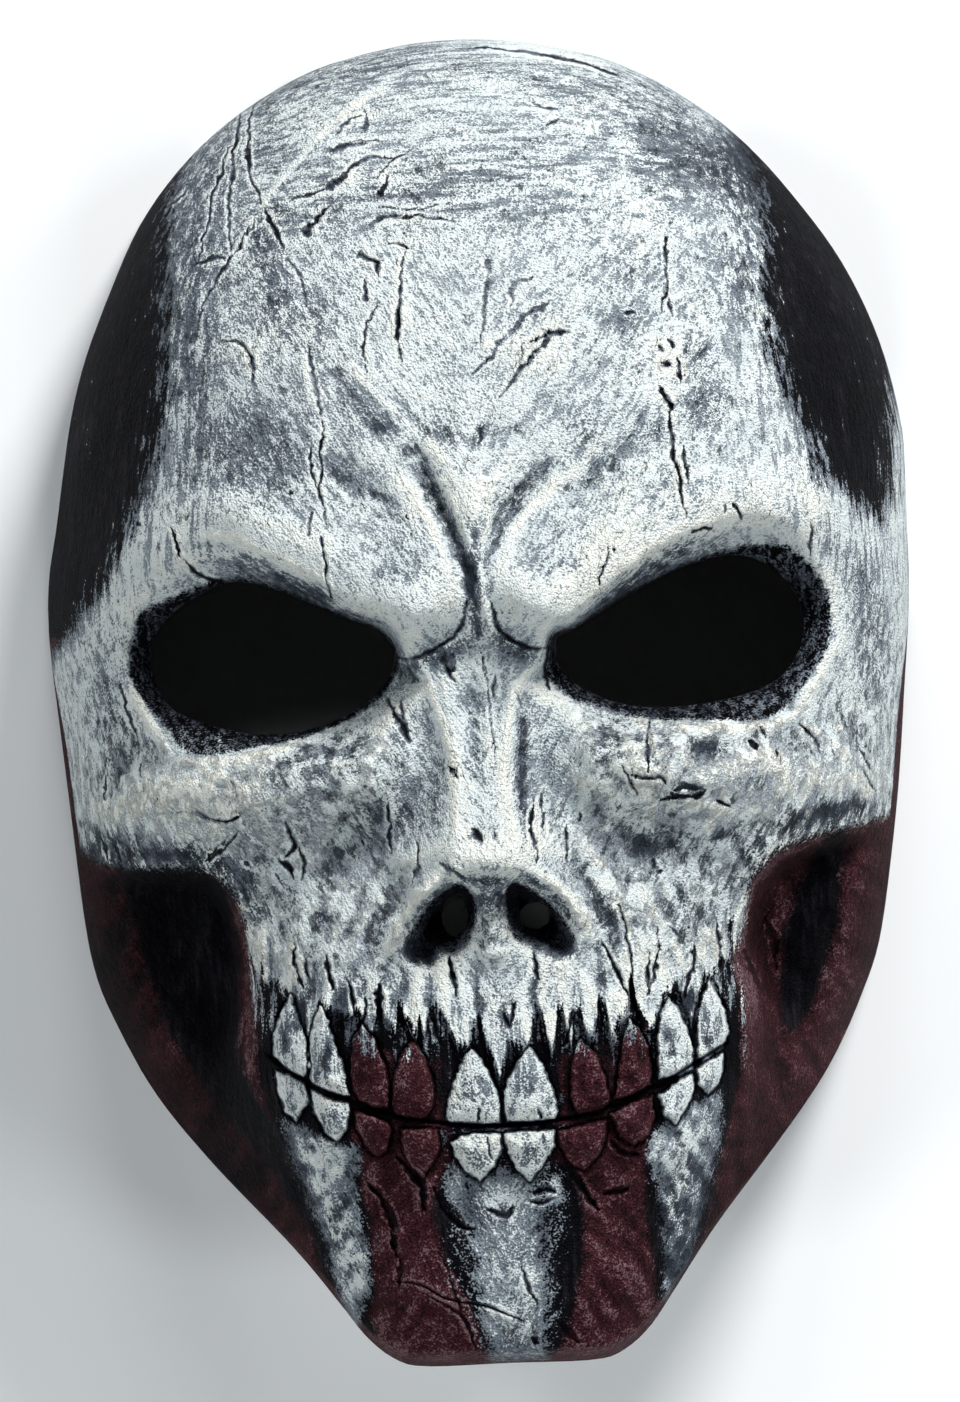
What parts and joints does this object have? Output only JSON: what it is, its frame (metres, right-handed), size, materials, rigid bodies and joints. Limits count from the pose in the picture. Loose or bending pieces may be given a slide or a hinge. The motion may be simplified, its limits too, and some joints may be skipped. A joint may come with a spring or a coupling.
{
  "type": "skull face mask",
  "caption": "Adult face mask moulded in latex as an angry human skull, with eye holes, nostril hollows, bared teeth and hollow cheeks, painted bone, dark red and black.",
  "frame": {"origin": "middle of the box round the mask, on the plane that its rim lies on", "axes": "+Z out of the face, +Y towards the crown, +X to the right of the face as it is looked at"},
  "size_m": [0.1736, 0.2662, 0.1222],
  "materials": {
    "painted_latex": "matt latex, dry-brushed bone colour over dark grey, with dark red and black painted areas"
  },
  "bodies": {
    "root": {"mask_shell": "painted_latex"}
  },
  "joints": []
}
